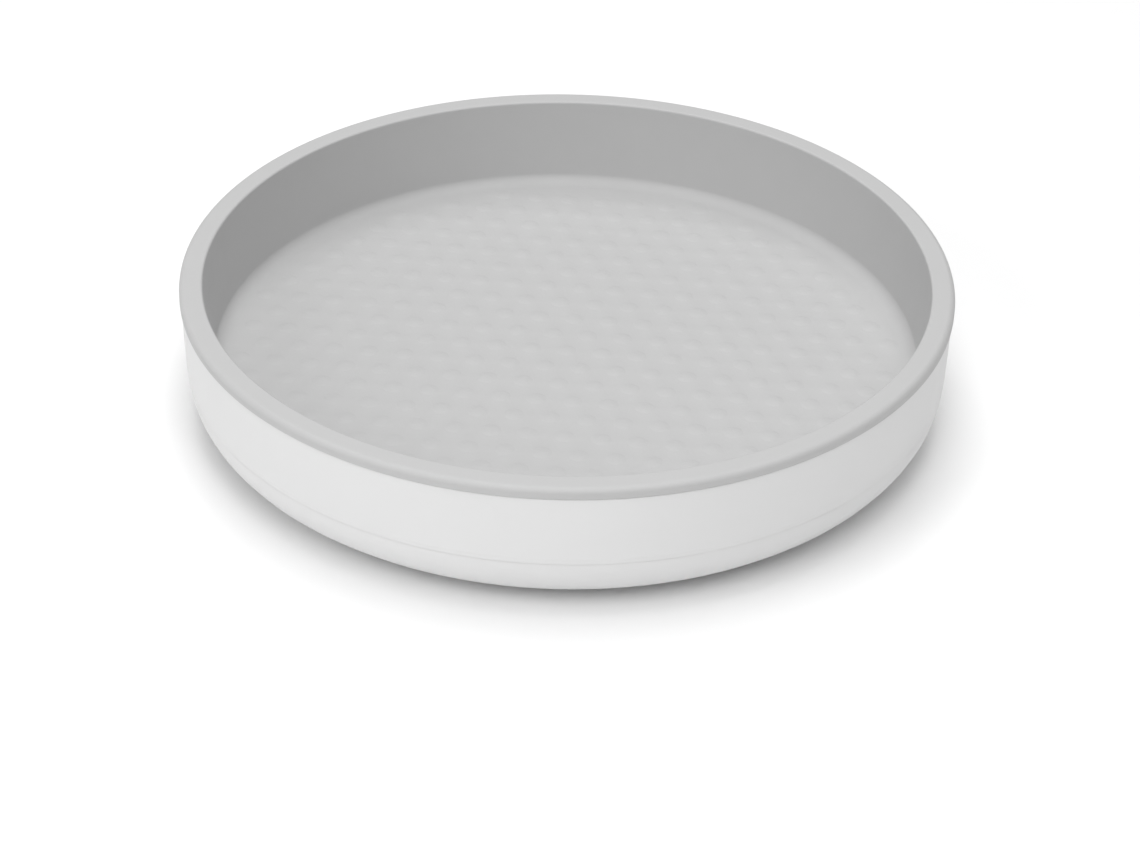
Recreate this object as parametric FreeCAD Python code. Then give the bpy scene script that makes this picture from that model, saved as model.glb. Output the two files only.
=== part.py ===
import FreeCAD, Part
import math
import os

# A round turntable for a cupboard or a table: a white moulded shell with a soft
# bumped liner hooked over its rim turns on twelve balls above a fixed base with
# five foot pads. Millimetres. Z is up, z = 0 is the counter, and the turning
# axis is the Z axis.

# ---------------------------------------------------------------- tray outside
tray_radius = 127.0            # outside of the rim bead
tray_depth = 31.6              # rim top down to the liner's floor
counter_gap = 4.0              # counter up to the shell's bottom edge
shell_wall = 2.4               # side wall, bottom edge and recess wall
shell_floor = 2.2              # raised centre under the liner
shell_taper = 0.5              # the wall's narrowing, from its shoulder to the witness line
bottom_round_width = 15.5      # rounded bottom edge, across
bottom_round_height = 17.2     # rounded bottom edge, up to the witness line
witness_step = 0.2             # the bottom edge stands back from the wall at the mould's witness line
witness_rise = 1.7             # slope of that step

# ------------------------------------------------------------------ soft liner
liner_thickness = 2.0
rim_width = 7.6                # flat-topped bead, inner wall to outside
wall_draft = 4.5               # inner wall's slope from upright, degrees
floor_corner_width = 4.6       # rounding between floor and inner wall, across
floor_corner_height = 3.4      # the same, upwards
lip_height = 3.6               # bead top down to the lip's lower edge
lip_thickness = 1.5
bead_roof = 1.7                # bead top down to the slot that takes the tongue
bead_edge_width = 2.0          # rounding of the bead's outer edge, across
bead_edge_height = 1.8         # the same, downwards
bead_inner_edge = 0.8          # rounding of the bead's inner edge
lip_proud = 0.45               # the lip stands this far outside the shell
shadow_gap = 0.1               # lip's lower edge down to the shell's shoulder
tongue_play = 0.1              # shell's tongue in the bead's slot

bump_pitch = 11.85
bump_radius = 3.5
bump_height = 0.35
bump_margin = 3.6              # last bump's centre to the floor's corner
bump_root = 0.2                # the bumps reach this far into the floor

# --------------------------------------------------------------------- bearing
ball_radius = 3.0
ball_circle = 60.0
ball_count = 12
ball_play = 0.05               # ball to each race
race_sheet = 0.8
race_conformity = 1.1          # groove radius over ball radius
race_groove_depth = 1.3
race_half_width = 7.0
race_stand_off = 0.75          # groove's back to the plate behind it
race_edge_play = 0.1           # race's edge to its locating ring
seat_offset = 5.0              # seat rings, each side of the ball circle
seat_wall = 1.2
locating_reach = 0.45          # locating ring's overlap of the race's edge
cage_thickness = 2.0
cage_half_width = 7.0
cage_pocket_play = 0.15

# ------------------------------------------------------------------- foot pads
pad_radius = 16.5
pad_thickness = 2.0
pad_count = 5
pad_pocket_depth = 0.4
pad_pocket_play = 0.3
pad_edge_margin = 3.2          # pocket to the base's edge

# ------------------------------------------------------------------ base plate
base_plate_thickness = 2.4
base_gap = 4.3                 # base's edge to the shell's recess
base_edge_height = 3.0
base_edge_wall = 2.0
rib_count = 10
rib_thickness = 1.6
base_rib_height = 2.0
shell_rib_height = 1.3

# ------------------------------------------------------------------ centre hub
post_radius = 8.0
hub_cup_radius = 14.5
hub_cup_wall = 2.4
hub_roof = 2.4
bush_play = 0.06               # post in the bush
bush_wall = 1.9
bush_seat_play = 0.05          # bush in the hub's roof
bush_flange = 1.0
bush_stand_up = 0.75
lift_play = 0.15               # washer to bush while the tray stands on its balls
washer_thickness = 1.0
washer_rim_play = 1.5          # washer and bush flange to the cup's wall
screw_radius = 2.0
screw_play = 0.05
screw_head_radius = 4.0
screw_head_height = 2.2
screw_tip_cover = 1.7          # screw's tip to the top of the shell's floor
screw_tip_gap = 0.5
drive_arm = 4.4                # cross recess, arm to arm
drive_slot = 1.1
drive_depth = 1.2
cap_thickness = 1.0
cap_rebate = 1.3               # cap's flange past the cup's wall
cap_play = 0.1
cap_skirt_wall = 1.0
cap_skirt_height = 1.8
cap_to_screw = 0.3

# -------------------------------------------------------------- edges and corners
recess_corner = 1.0            # shell's raised centre to its recess wall and land
recess_edge = 0.8              # recess wall's lower edge
shoulder_edge = 0.3            # shell's white edge under the lip
bead_root = 0.6                # liner's wall where the bead starts
lip_edge = 0.3                 # lip's lower edge
base_edge = 1.2                # base's lower edge
base_rim_edge = 0.6            # both edges of the base's upturned edge
base_corner = 1.0              # base plate to its upturned edge
bush_edge = 0.3
screw_head_edge = 1.4
screw_tip_length = 1.0
cap_edge = 0.3
cap_skirt_edge = 0.4
overlap = 1.0                  # ribs into the wall they join, cutters past the face they open
same_place = 1e-6              # two points closer than this are one

# ------------------------------------------------------ heights, counter upwards
base_underside = pad_thickness - pad_pocket_depth
base_top = base_underside + base_plate_thickness
lower_groove = base_top + race_stand_off + race_sheet
ball_height = lower_groove + ball_play + ball_radius
upper_groove = ball_height + ball_radius + ball_play
shell_underside = upper_groove + race_sheet + race_stand_off
shell_floor_top = shell_underside + shell_floor
liner_floor_top = shell_floor_top + liner_thickness
rim_top = liner_floor_top + tray_depth
lip_bottom = rim_top - lip_height
shoulder = lip_bottom - shadow_gap
witness_height = counter_gap + bottom_round_height
cap_top = base_underside + cap_thickness
screw_head_bottom = cap_top + cap_to_screw
washer_bottom = screw_head_bottom + screw_head_height
post_bottom = washer_bottom + washer_thickness
bush_bottom = post_bottom + lift_play
roof_bottom = bush_bottom + bush_flange
roof_top = roof_bottom + hub_roof
screw_tip = shell_floor_top - screw_tip_cover

# -------------------------------------------------------- radii, outside inwards
lip_inside = tray_radius - lip_thickness
tongue_outside = lip_inside - tongue_play
shell_top_radius = tray_radius - lip_proud
shell_low_radius = shell_top_radius - shell_taper
shell_inside_top = shell_top_radius - shell_wall
shell_inside_low = shell_low_radius - shell_wall
shell_foot_radius = shell_low_radius - witness_step
land_radius = shell_foot_radius - bottom_round_width
recess_radius = land_radius - shell_wall
base_radius = recess_radius - base_gap
pad_circle = base_radius - pad_edge_margin - pad_pocket_play - pad_radius
locating_radius = ball_circle + race_half_width + race_edge_play
washer_radius = hub_cup_radius - washer_rim_play


def vector(r, z):
    return FreeCAD.Vector(r, 0.0, z)


def rounded_corner(before, corner, after, back, ahead):
    """Edge that rounds a corner, leaving it `back` before and `ahead` after the corner."""
    inward = (before - corner).normalize()
    outward = (after - corner).normalize()
    start = corner + inward * back
    end = corner + outward * ahead
    half_turn = (math.pi - inward.getAngle(outward)) / 2
    if abs(back - ahead) < same_place:
        radius = back / math.tan(half_turn)
        bisector = (inward + outward).normalize()
        middle = corner + bisector * (radius / math.cos(half_turn) - radius)
        return start, Part.Arc(start, middle, end).toShape(), end
    conic = Part.BezierCurve()
    conic.setPoles([start, corner, end])
    conic.setWeight(2, math.cos(half_turn))
    return start, conic.toShape(), end


def trims(before, corner, after, rounding):
    """Lengths that a rounding takes off the two sides of its corner."""
    if isinstance(rounding, tuple):
        return rounding
    inward = (before - corner).normalize()
    outward = (after - corner).normalize()
    half_turn = (math.pi - inward.getAngle(outward)) / 2
    trim = rounding * math.tan(half_turn)
    return trim, trim


def turned(corners):
    """Solid of revolution about Z from (r, z) or (r, z, rounding) corners in order.

    A rounding is a radius, or (back, ahead) for a quarter of an ellipse.
    """
    points = [vector(corner[0], corner[1]) for corner in corners]
    edges = []
    stretches = []
    for index, corner in enumerate(corners):
        here = points[index]
        if len(corner) == 2:
            stretches.append((here, None, here))
            continue
        before = points[index - 1]
        after = points[(index + 1) % len(points)]
        back, ahead = trims(before, here, after, corner[2])
        stretches.append(rounded_corner(before, here, after, back, ahead))
    for index, (start, edge, end) in enumerate(stretches):
        if edge is not None:
            edges.append(edge)
        next_start = stretches[(index + 1) % len(stretches)][0]
        if (next_start - end).Length > same_place:
            edges.append(Part.LineSegment(end, next_start).toShape())
    face = Part.Face(Part.Wire(edges))
    solid = face.revolve(FreeCAD.Vector(0, 0, 0), FreeCAD.Vector(0, 0, 1), 360)
    if solid.Volume < 0:
        solid.reverse()
    return solid


def disc(radius, low, high, x=0.0, y=0.0):
    return Part.makeCylinder(radius, high - low, FreeCAD.Vector(x, y, low))


def ring(inside, outside, low, high):
    return disc(outside, low, high).cut(disc(inside, low, high))


def polar(radius, index, count):
    """x and y of place `index` of `count` round a circle, the first on +X."""
    turn = math.tau * index / count
    return radius * math.cos(turn), radius * math.sin(turn)


def ribs(inside, outside, low, high):
    """Radial ribs from one radius to another, half a step off the +X axis."""
    bars = []
    for index in range(rib_count):
        bar = Part.makeBox(outside - inside, rib_thickness, high - low,
                           FreeCAD.Vector(inside, -rib_thickness / 2, low))
        bar.rotate(FreeCAD.Vector(0, 0, 0), FreeCAD.Vector(0, 0, 1), 360.0 * (index + 0.5) / rib_count)
        bars.append(bar)
    return bars


def race_seat(plate, flange_back, locating_end):
    """Two rings that the race's flanges stand on, and a ring that centres its edge."""
    low, high = min(plate, flange_back), max(plate, flange_back)
    inner = ball_circle - seat_offset
    outer = ball_circle + seat_offset
    low_end, high_end = min(plate, locating_end), max(plate, locating_end)
    return [
        ring(inner - seat_wall / 2, inner + seat_wall / 2, low, high),
        ring(outer - seat_wall / 2, outer + seat_wall / 2, low, high),
        ring(locating_radius, locating_radius + seat_wall, low_end, high_end),
    ]


# --------------------------------------------------------------------- the races
groove_radius = ball_radius * race_conformity
groove_half = math.sqrt(groove_radius ** 2 - (groove_radius - race_groove_depth) ** 2)
back_radius = groove_radius + race_sheet
back_half = math.sqrt(back_radius ** 2 - (back_radius - race_groove_depth) ** 2)
lower_flange_top = lower_groove + race_groove_depth
lower_flange_back = lower_flange_top - race_sheet
upper_flange_under = upper_groove - race_groove_depth
upper_flange_back = upper_flange_under + race_sheet


def race(groove, facing):
    """Pressed ring with one round groove; facing is +1 for a groove open upwards."""
    flange = groove + facing * race_groove_depth
    back_flange = flange - facing * race_sheet
    back_groove = groove - facing * race_sheet
    inner = ball_circle - race_half_width
    outer = ball_circle + race_half_width
    edges = [
        Part.LineSegment(vector(inner, flange), vector(ball_circle - groove_half, flange)),
        Part.Arc(vector(ball_circle - groove_half, flange), vector(ball_circle, groove),
                 vector(ball_circle + groove_half, flange)),
        Part.LineSegment(vector(ball_circle + groove_half, flange), vector(outer, flange)),
        Part.LineSegment(vector(outer, flange), vector(outer, back_flange)),
        Part.LineSegment(vector(outer, back_flange), vector(ball_circle + back_half, back_flange)),
        Part.Arc(vector(ball_circle + back_half, back_flange), vector(ball_circle, back_groove),
                 vector(ball_circle - back_half, back_flange)),
        Part.LineSegment(vector(ball_circle - back_half, back_flange), vector(inner, back_flange)),
        Part.LineSegment(vector(inner, back_flange), vector(inner, flange)),
    ]
    face = Part.Face(Part.Wire([edge.toShape() for edge in edges]))
    solid = face.revolve(FreeCAD.Vector(0, 0, 0), FreeCAD.Vector(0, 0, 1), 360)
    if solid.Volume < 0:
        solid.reverse()
    return solid


def outer_shell():
    """White shell: side wall with a rounded bottom edge, raised centre, tongue and post."""
    inner_round = (bottom_round_width - shell_wall, bottom_round_height - shell_wall)
    shell = turned([
        (0.0, shell_underside),
        (recess_radius, shell_underside, recess_corner),
        (recess_radius, counter_gap, recess_edge),
        (shell_foot_radius, counter_gap, (bottom_round_width, bottom_round_height)),
        (shell_foot_radius, witness_height),
        (shell_low_radius, witness_height + witness_rise),
        (shell_top_radius, shoulder, shoulder_edge),
        (tongue_outside, shoulder),
        (tongue_outside, rim_top - bead_roof - tongue_play),
        (shell_inside_top, rim_top - bead_roof - tongue_play),
        (shell_inside_top, shoulder),
        (shell_inside_low, witness_height),
        (shell_inside_low, counter_gap + shell_wall, (inner_round[1], inner_round[0])),
        (land_radius, counter_gap + shell_wall),
        (land_radius, shell_floor_top, recess_corner),
        (0.0, shell_floor_top),
    ])
    inner_end = ball_circle - seat_offset
    added = [disc(post_radius, post_bottom, shell_underside)]
    added += race_seat(shell_underside, upper_flange_back, upper_flange_back - locating_reach)
    rib_low = shell_underside - shell_rib_height
    added += ribs(post_radius - overlap, inner_end, rib_low, shell_underside)
    added += ribs(locating_radius + seat_wall / 2, recess_radius + shell_wall / 2, rib_low, shell_underside)
    shell = shell.fuse(added)
    return shell.cut(disc(screw_radius + screw_play, post_bottom, screw_tip + screw_tip_gap)).removeSplitter()


def liner_wall(z):
    """Radius of the liner's inner wall at a height."""
    return tray_radius - rim_width - (rim_top - z) * math.tan(math.radians(wall_draft))


def bump_places():
    """Bump centres: a triangular lattice with rows along X and one bump on the axis."""
    reach = liner_wall(liner_floor_top) - floor_corner_width - bump_margin
    row_step = bump_pitch * math.sqrt(3) / 2
    rows = int(reach / row_step)
    places = []
    for row in range(-rows, rows + 1):
        y = row * row_step
        shift = bump_pitch / 2 * (row % 2)
        half = int(reach / bump_pitch) + 1
        for column in range(-half, half + 1):
            x = column * bump_pitch + shift
            if math.hypot(x, y) <= reach:
                places.append((x, y))
    return places


def grip_liner():
    """Soft grey liner: bumped floor, drafted wall, and a bead that hooks over the tongue."""
    skin = liner_thickness / math.cos(math.radians(wall_draft))
    slot_inside = shell_inside_top - tongue_play
    inner_corner = (floor_corner_height, floor_corner_width)
    outer_corner = (floor_corner_width + liner_thickness, floor_corner_height + liner_thickness)
    liner = turned([
        (0.0, shell_floor_top),
        (liner_wall(shell_floor_top) + skin, shell_floor_top, outer_corner),
        (liner_wall(lip_bottom) + skin, lip_bottom, bead_root),
        (slot_inside, lip_bottom),
        (slot_inside, rim_top - bead_roof),
        (lip_inside, rim_top - bead_roof),
        (lip_inside, lip_bottom),
        (tray_radius, lip_bottom, lip_edge),
        (tray_radius, rim_top, (bead_edge_height, bead_edge_width)),
        (liner_wall(rim_top), rim_top, bead_inner_edge),
        (liner_wall(liner_floor_top), liner_floor_top, inner_corner),
        (0.0, liner_floor_top),
    ])
    sphere = (bump_radius ** 2 + bump_height ** 2) / (2 * bump_height)
    lowest = math.degrees(math.asin((sphere - bump_height - bump_root) / sphere))
    bumps = []
    for x, y in bump_places():
        centre = FreeCAD.Vector(x, y, liner_floor_top + bump_height - sphere)
        bumps.append(Part.makeSphere(sphere, centre, FreeCAD.Vector(0, 0, 1), lowest, 90, 360))
    return liner.fuse(bumps)


def ball_cage():
    """Flat moulded ring with one round pocket for each ball."""
    low = ball_height - cage_thickness / 2
    high = ball_height + cage_thickness / 2
    cage = ring(ball_circle - cage_half_width, ball_circle + cage_half_width, low, high)
    pockets = []
    for index in range(ball_count):
        x, y = polar(ball_circle, index, ball_count)
        pockets.append(disc(ball_radius + cage_pocket_play, low - overlap, high + overlap, x, y))
    return cage.cut(pockets)


def base_plate():
    """Fixed disc with an upturned edge, ribs, race seat, hub cup and pad pockets."""
    edge_inside = base_radius - base_edge_wall
    edge_top = base_top + base_edge_height
    plate = turned([
        (0.0, base_underside),
        (base_radius, base_underside, base_edge),
        (base_radius, edge_top, base_rim_edge),
        (edge_inside, edge_top, base_rim_edge),
        (edge_inside, base_top, base_corner),
        (0.0, base_top),
    ])
    hub_outside = hub_cup_radius + hub_cup_wall
    rib_top = base_top + base_rib_height
    added = [disc(hub_outside, base_underside, roof_top)]
    added += race_seat(base_top, lower_flange_back, lower_flange_back + locating_reach)
    added += ribs(hub_outside - overlap, ball_circle - seat_offset, base_top, rib_top)
    added += ribs(locating_radius + seat_wall / 2, edge_inside + base_edge_wall / 2, base_top, rib_top)
    bush_outside = post_radius + bush_play + bush_wall
    cuts = [
        disc(hub_cup_radius, base_underside, roof_bottom),
        disc(hub_cup_radius + cap_rebate, base_underside, cap_top),
        disc(bush_outside + bush_seat_play, roof_bottom, roof_top),
    ]
    for index in range(pad_count):
        x, y = polar(pad_circle, index, pad_count)
        cuts.append(disc(pad_radius + pad_pocket_play, base_underside, pad_thickness, x, y))
    return plate.fuse(added).cut(cuts).removeSplitter()


def centre_bush():
    """Flanged sleeve, pushed up through the hub's roof."""
    bore = post_radius + bush_play
    outside = bore + bush_wall
    return turned([
        (bore, bush_bottom),
        (washer_radius, bush_bottom, bush_edge),
        (washer_radius, roof_bottom),
        (outside, roof_bottom),
        (outside, roof_top + bush_stand_up, bush_edge),
        (bore, roof_top + bush_stand_up, bush_edge),
    ])


def thrust_washer():
    return ring(screw_radius + screw_play, washer_radius, washer_bottom, post_bottom)


def centre_screw():
    """Pan-head screw with a cross recess, up through the washer into the post."""
    screw = turned([
        (0.0, screw_head_bottom),
        (screw_head_radius, screw_head_bottom, screw_head_edge),
        (screw_head_radius, washer_bottom),
        (screw_radius, washer_bottom),
        (screw_radius, screw_tip - screw_tip_length),
        (screw_radius / 2, screw_tip),
        (0.0, screw_tip),
    ])
    for length, width in ((drive_arm, drive_slot), (drive_slot, drive_arm)):
        corner = FreeCAD.Vector(-length / 2, -width / 2, screw_head_bottom - overlap)
        screw = screw.cut(Part.makeBox(length, width, drive_depth + overlap, corner))
    return screw


def screw_cap():
    """Snap-in cap that closes the hub cup from below."""
    skirt = hub_cup_radius - cap_play
    flange = hub_cup_radius + cap_rebate - cap_play
    return turned([
        (0.0, base_underside),
        (flange, base_underside, cap_edge),
        (flange, cap_top),
        (skirt, cap_top),
        (skirt, cap_top + cap_skirt_height, cap_skirt_edge),
        (skirt - cap_skirt_wall, cap_top + cap_skirt_height),
        (skirt - cap_skirt_wall, cap_top),
        (0.0, cap_top),
    ])


def foot_pad(index):
    x, y = polar(pad_circle, index, pad_count)
    return disc(pad_radius, 0.0, pad_thickness, x, y)


def ball(index):
    x, y = polar(ball_circle, index, ball_count)
    return Part.makeSphere(ball_radius, FreeCAD.Vector(x, y, ball_height))


def save(node, shape):
    """Write one node's solid as a STEP file."""
    shape.Solids[0].exportStep("parts/" + node + ".step")
    print(node, "volume", round(shape.Volume), "solids", len(shape.Solids), "valid", shape.isValid())


os.makedirs("parts", exist_ok=True)
save("outer_shell", outer_shell())
save("grip_liner", grip_liner())
save("upper_race", race(upper_groove, -1))
save("lower_race", race(lower_groove, 1))
save("ball_cage", ball_cage())
for number in range(ball_count):
    save("ball_%02d" % (number + 1), ball(number))
save("base_plate", base_plate())
save("centre_bush", centre_bush())
save("thrust_washer", thrust_washer())
save("centre_screw", centre_screw())
save("screw_cap", screw_cap())
for number in range(pad_count):
    save("foot_pad_%d" % (number + 1), foot_pad(number))
print("rim top", rim_top, "bumps", len(bump_places()), "pad circle", pad_circle)
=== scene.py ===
"""A lazy susan turntable: white moulded shell, soft bumped liner, ball bearing, fixed base with foot pads."""

import math

import bmesh
import bpy
from bpy.props import FloatProperty, FloatVectorProperty, IntProperty, PointerProperty
from mathutils import Matrix, Vector
from mathutils.geometry import delaunay_2d_cdt
from mathutils.kdtree import KDTree


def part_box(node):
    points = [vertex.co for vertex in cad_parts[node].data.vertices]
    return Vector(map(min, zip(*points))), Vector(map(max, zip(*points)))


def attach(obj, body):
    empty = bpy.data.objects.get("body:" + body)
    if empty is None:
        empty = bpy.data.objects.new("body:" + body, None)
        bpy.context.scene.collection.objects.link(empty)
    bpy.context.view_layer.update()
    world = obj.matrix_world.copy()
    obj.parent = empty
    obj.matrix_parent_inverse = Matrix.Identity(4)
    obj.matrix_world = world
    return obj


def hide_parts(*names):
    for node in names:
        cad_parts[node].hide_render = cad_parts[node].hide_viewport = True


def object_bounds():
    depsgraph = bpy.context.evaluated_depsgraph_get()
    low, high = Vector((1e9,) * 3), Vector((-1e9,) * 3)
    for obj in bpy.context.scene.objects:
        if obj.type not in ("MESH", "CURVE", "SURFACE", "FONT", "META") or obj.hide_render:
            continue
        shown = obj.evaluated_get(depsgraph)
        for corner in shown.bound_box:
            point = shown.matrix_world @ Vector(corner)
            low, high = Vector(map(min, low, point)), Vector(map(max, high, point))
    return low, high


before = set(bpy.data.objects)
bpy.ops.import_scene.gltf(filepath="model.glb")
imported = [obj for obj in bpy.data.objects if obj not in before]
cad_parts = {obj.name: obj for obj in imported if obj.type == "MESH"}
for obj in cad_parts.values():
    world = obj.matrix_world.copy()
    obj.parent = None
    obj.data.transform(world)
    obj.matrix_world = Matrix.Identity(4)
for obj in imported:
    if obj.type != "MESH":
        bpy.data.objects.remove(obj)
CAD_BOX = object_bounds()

bl_info = {
    "name": "Lazy Susan Turntable",
    "version": (1, 0, 0),
    "blender": (4, 5, 0),
    "location": "View3D > Sidebar > Turntable",
    "description": "Builds a round turntable with a bumped liner, a ball bearing and a padded base",
    "category": "Object",
}

MM = 0.001
STEPS = 360                 # facets round each large turned piece
PAD_STEPS = 240             # facets round each foot pad
SMALL_STEPS = 96            # facets round each small turned piece and each pocket
SCREW_STEPS = 48            # facets round the screw
THREAD_ROWS = 10            # rows of facets in one pitch of the thread
GROOVE_STEPS = 14           # facets across each race's groove
BUMP_STEPS = 16             # facets round each bump
BUMP_RINGS = (1.0, 0.9, 0.78, 0.6, 0.3)     # radii of a bump's rings, as shares of its foot
SHARP = math.radians(32)    # edges at a steeper angle than this are shaded crisp
REACH = MM                  # what cuts goes this far past what it cuts
ROOT = 0.2 * MM             # what joins goes this far into what it joins
SLACK = 0.01 * MM           # places nearer than this are taken as the same place
FLUSH = 1e-6                # heights nearer than this, in metres, are the same
WELD = 2e-7                 # points nearer than this, in metres, are one
SEED_STEP = 7.3             # from the noise of one foam pad to that of the next

# Roundings of edges and corners that have no size of their own
CRISP, FINE, SOFT, FILLET, WIDE = 0.1 * MM, 0.2 * MM, 0.3 * MM, 0.6 * MM, 1.0 * MM

# A bump's height is (1 - share ** DOME_SHOULDER) ** DOME_FOOT of its middle's, share being of its radius
DOME_SHOULDER = 2.4
DOME_FOOT = 1.25
CUT_EDGE = 0.985            # the cut edge of a foam pad starts at this share of its radius
CUT_GRAINS = 900.0          # grains in a metre of a foam pad's cut edge
OCTAVES = 0.55              # strength of each finer octave of noise against the one before
LEVEL = (1.0, 1.0, 0.0)     # keeps X and Y, and drops Z

# Node kinds that are used again and again
MATH = "ShaderNodeMath"
VECTOR = "ShaderNodeVectorMath"
COMBINE = "ShaderNodeCombineXYZ"
NOISE = "ShaderNodeTexNoise"
RANGE = "ShaderNodeMapRange"
MIX = "ShaderNodeMix"
BUMP = "ShaderNodeBump"
MOVE = "GeometryNodeTransform"

# Each softbox: its side, azimuth from +X, elevation and distance, in metres and degrees
SOFTBOXES = {
    "front": (0.9, 282.0, 50.0, 1.6),
    "side": (0.9, 222.0, 30.0, 1.6),
    "top": (1.2, 0.0, 90.0, 1.9),
    "back": (1.0, 97.0, 60.0, 1.9),
}


# ------------------------------------------------------------------ settings

def length(millimetres, description):
    """A size that is shown in the scene's length unit."""
    return FloatProperty(description=description, default=millimetres * MM, min=0.0, precision=5,
                         subtype="DISTANCE", unit="LENGTH")


def angle(degrees, description):
    return FloatProperty(description=description, default=math.radians(degrees), subtype="ANGLE",
                         unit="ROTATION")


def linear(code):
    """Linear colour of an sRGB hex code."""
    parts = [int(code[start:start + 2], 16) / 255 for start in (1, 3, 5)]
    return tuple(c / 12.92 if c <= 0.04045 else ((c + 0.055) / 1.055) ** 2.4 for c in parts)


def colour(code, description):
    return FloatVectorProperty(description=description, default=linear(code), size=3, min=0.0, max=1.0,
                               subtype="COLOR")


def watts(power, description):
    return FloatProperty(description=description, default=power, min=0.0, unit="POWER")


class ShellSizes(bpy.types.PropertyGroup):
    wall: length(2.4, "Side wall, bottom edge and recess wall")
    floor: length(2.2, "Raised centre under the liner")
    taper: length(0.5, "Narrowing of the wall from shoulder to witness line")
    round_width: length(15.5, "Rounded bottom edge, across")
    round_height: length(17.2, "Rounded bottom edge, up to the witness line")
    witness_step: length(0.2, "Setback of the bottom edge at the mould's witness line")
    witness_rise: length(1.7, "Slope of the step at the witness line")
    shoulder_edge: length(0.3, "Rounding of the white edge under the lip")
    shadow_gap: length(0.1, "Lower edge of the lip to the white shoulder")
    post_radius: length(8.0, "Centre post that turns in the bush")
    pilot_radius: length(2.05, "Hole for the centre screw")
    recess_edge: length(0.8, "Rounding of the recess's lower edge and of the post's root")
    witness_edge: length(2.0, "Softening of the step at the witness line")
    pilot_spare: length(0.5, "Pilot hole past the screw's tip")
    rib_height: length(1.3, "Ribs under the raised floor")


class LinerSizes(bpy.types.PropertyGroup):
    thickness: length(2.0, "Floor and wall of the soft liner")
    rim_width: length(7.6, "Flat-topped bead from inner wall to outside")
    draft: angle(4.5, "Slope of the inner wall from upright")
    corner_width: length(4.6, "Rounding between floor and wall, across")
    corner_height: length(3.4, "Rounding between floor and wall, upwards")
    lip_height: length(3.6, "Bead top to the lower edge of the outside lip")
    lip_thickness: length(1.5, "Outside lip")
    bead_roof: length(1.7, "Bead top to the slot for the tongue")
    lip_edge: length(0.3, "Rounding of the lip's lower edge")
    bead_edge_width: length(2.0, "Rounding of the bead's outer edge, across")
    bead_edge_height: length(1.8, "Rounding of the bead's outer edge, downwards")
    bead_inner_edge: length(0.8, "Rounding of the bead's inner edge")
    slot_play: length(0.1, "Clearance of the tongue in its slot")
    bump_pitch: length(11.85, "Distance between neighbouring bumps")
    bump_radius: length(3.5, "Foot of one bump")
    bump_height: length(0.35, "Height of one bump")
    bump_margin: length(3.6, "Last bump centre to the floor corner")


class BearingSizes(bpy.types.PropertyGroup):
    sheet: length(0.8, "Thickness of the pressed races")
    groove_depth: length(1.3, "Depth of each race's groove")
    groove_radius: length(3.3, "Radius of each race's groove")
    half_width: length(7.0, "Race edge to ball circle")
    race_edge: length(0.15, "Rounding of the races' cut edges")
    seat_offset: length(5.0, "Seat rings each side of the ball circle")
    seat_wall: length(1.2, "Thickness of the seat rings")
    edge_play: length(0.1, "Race edge to its locating ring")
    reach: length(0.45, "Locating ring's overlap of the race's edge")
    pocket_play: length(0.15, "Ball to the cage's pocket")
    balls: IntProperty(description="Number of balls", default=12, min=3)


class BaseSizes(bpy.types.PropertyGroup):
    plate: length(2.4, "Base plate thickness")
    edge_height: length(3.0, "Upturned edge above the plate")
    edge_wall: length(2.0, "Thickness of the upturned edge")
    foot_edge: length(1.2, "Rounding of the plate's lower edge")
    rib_height: length(2.0, "Ribs on the plate")
    rib_thickness: length(1.6, "Ribs on the plate and under the shell")
    ribs: IntProperty(description="Number of ribs in each ring", default=10, min=3)
    cup_radius: length(14.5, "Inside of the hub cup")
    cup_wall: length(2.4, "Wall of the hub cup")
    roof: length(2.4, "Roof of the hub cup")
    pocket_play: length(0.3, "Pad to its pocket")
    pocket_depth: length(0.4, "Depth of the pad pockets")
    pad_edge: length(0.25, "Rounding of each pad's lower edge")
    cut_roughness: length(0.35, "Depth of the cut edge's grain on the pads")
    pads: IntProperty(description="Number of foot pads", default=5, min=3)


class HubSizes(bpy.types.PropertyGroup):
    bush_play: length(0.06, "Post in the bush")
    bush_wall: length(1.9, "Wall of the bush")
    bush_flange: length(1.0, "Flange under the hub's roof")
    seat_play: length(0.05, "Bush in the roof and screw in the washer")
    screw_radius: length(2.0, "Outside of the thread")
    thread_pitch: length(1.4, "Coarse thread for plastic")
    thread_depth: length(0.4, "Crest to root")
    head_height: length(2.2, "Pan head of the screw")
    head_edge: length(1.4, "Rounding of the pan head")
    tip_length: length(1.6, "Height in which the tip would widen by the thread's whole radius")
    recess_length: length(4.4, "Cross recess, along each arm")
    recess_width: length(1.1, "Cross recess, across each arm")
    recess_depth: length(1.2, "Cross recess, into the head")
    cap_thickness: length(1.0, "Disc of the screw cap")
    cap_rebate: length(1.3, "Cap's flange past the cup's wall")
    cap_play: length(0.1, "Cap in its rebate")
    cap_skirt: length(1.0, "Wall of the cap's skirt")


class Finishes(bpy.types.PropertyGroup):
    polypropylene: colour("#DBDBDB", "Shell, base and cap")
    elastomer: colour("#B9B9B9", "Liner")
    acetal: colour("#E6E4DC", "Cage and bush")
    zinc: colour("#B9BBBE", "Races, washer and screw")
    steel: colour("#C9CACC", "Balls")
    neoprene: colour("#1B1B1C", "Foot pads")
    lint: colour("#8C8C8C", "Dust and lint caught by the foot pads")
    floor: colour("#F6F6F6", "Pale studio floor")


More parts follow.
